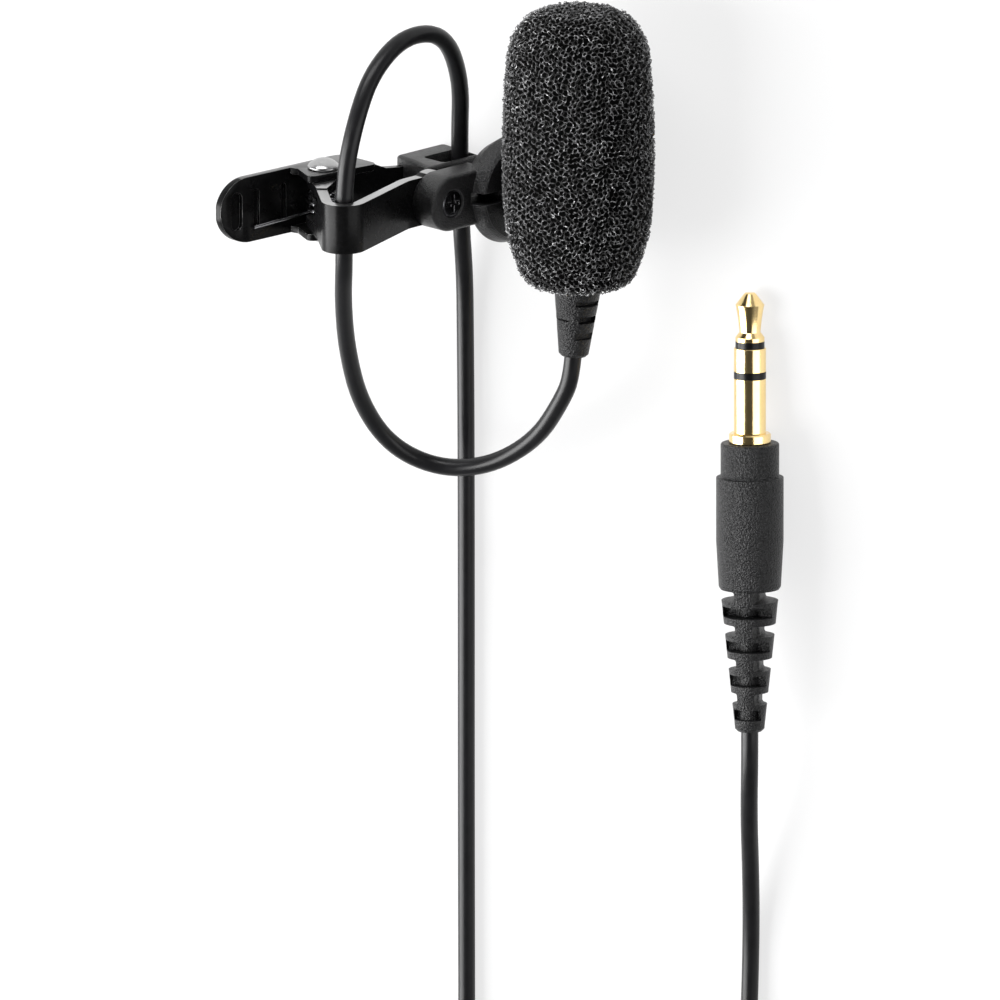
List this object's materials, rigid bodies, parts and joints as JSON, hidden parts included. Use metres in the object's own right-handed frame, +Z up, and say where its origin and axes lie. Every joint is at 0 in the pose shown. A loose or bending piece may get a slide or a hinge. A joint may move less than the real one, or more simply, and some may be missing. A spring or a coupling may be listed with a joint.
{
  "type": "lavalier microphone",
  "caption": "Clip-on lavalier microphone with a foam windscreen, a swivel ring on a spring clip, a slim cord wound for storage and a gold jack plug with a slotted strain relief.",
  "frame": {"origin": "bottom centre of the box round the microphone and its clip, without the cord and plug, on the surface that they lie on", "axes": "+Z up from that surface, +Y the way the microphone and the plug point, +X towards the plug"},
  "size_m": [0.0578, 0.1532, 0.0269],
  "materials": {
    "painted_steel": "satin black paint",
    "textured_plastic": "fine texture",
    "bright_steel": "bright",
    "cord_jacket": "satin",
    "tie_strap": "matte",
    "grip_plastic": "finely grained",
    "relief_rubber": "matte",
    "gold_contact": "polished gold plating",
    "insulator": "gloss",
    "holder_plastic": "satin",
    "housing_metal": "satin black",
    "capsule_metal": "satin",
    "board": "satin",
    "foam": "open-cell foam"
  },
  "bodies": {
    "rear_half": {"rear_clip_half": "painted_steel", "rear_jaw_block": "textured_plastic", "clip_rivet": "bright_steel", "clip_spring": "bright_steel", "cord_main": "cord_jacket", "cord_coil": "cord_jacket", "coil_tie": "tie_strap", "cord_plug_lead": "cord_jacket", "plug_body": "grip_plastic", "plug_strain_relief": "relief_rubber", "plug_tip": "gold_contact", "tip_insulator": "insulator", "ring_contact": "gold_contact", "ring_insulator": "insulator", "plug_sleeve": "gold_contact"},
    "front_half": {"front_arm": "painted_steel", "holder_screw": "bright_steel", "cord_upper_arc": "cord_jacket", "cord_loop_left": "cord_jacket"},
    "holder": {"mic_holder": "holder_plastic"},
    "microphone": {"mic_collar": "holder_plastic", "mic_housing": "housing_metal", "mic_grille": "housing_metal", "capsule": "capsule_metal", "capsule_sleeve": "relief_rubber", "capsule_board": "board", "mic_boot": "relief_rubber", "cord_loop_low": "cord_jacket"},
    "foam": {"windscreen": "foam"}
  },
  "joints": [
    {"name": "clip_hinge", "type": "hinge", "parent": "rear_half", "child": "front_half", "pos_m": [-0.01266, -0.00261, 0.0156], "axis": [0, -1, 0], "range_deg": [0, 28], "stiffness_Nm_per_rad": 0.02, "springref_deg": -68.75, "deforming": ["clip_spring", "cord_upper_arc"]},
    {"name": "holder_pivot", "type": "hinge", "parent": "front_half", "child": "holder", "pos_m": [-0.00024, -0.00261, 0.01237], "axis": [0.8746, 0, 0.4848], "range_deg": [-30, 60], "deforming": ["cord_loop_left"]},
    {"name": "mic_swivel", "type": "hinge", "parent": "holder", "child": "microphone", "pos_m": [0.00534, -0.00261, 0.0054], "axis": [0.8746, 0, 0.4848], "range_deg": [-60, 60], "deforming": ["cord_loop_low"]},
    {"name": "windscreen_slide", "type": "slide", "parent": "microphone", "child": "foam", "axis": [0, 1, 0], "range_m": [0, 0.025]}
  ]
}
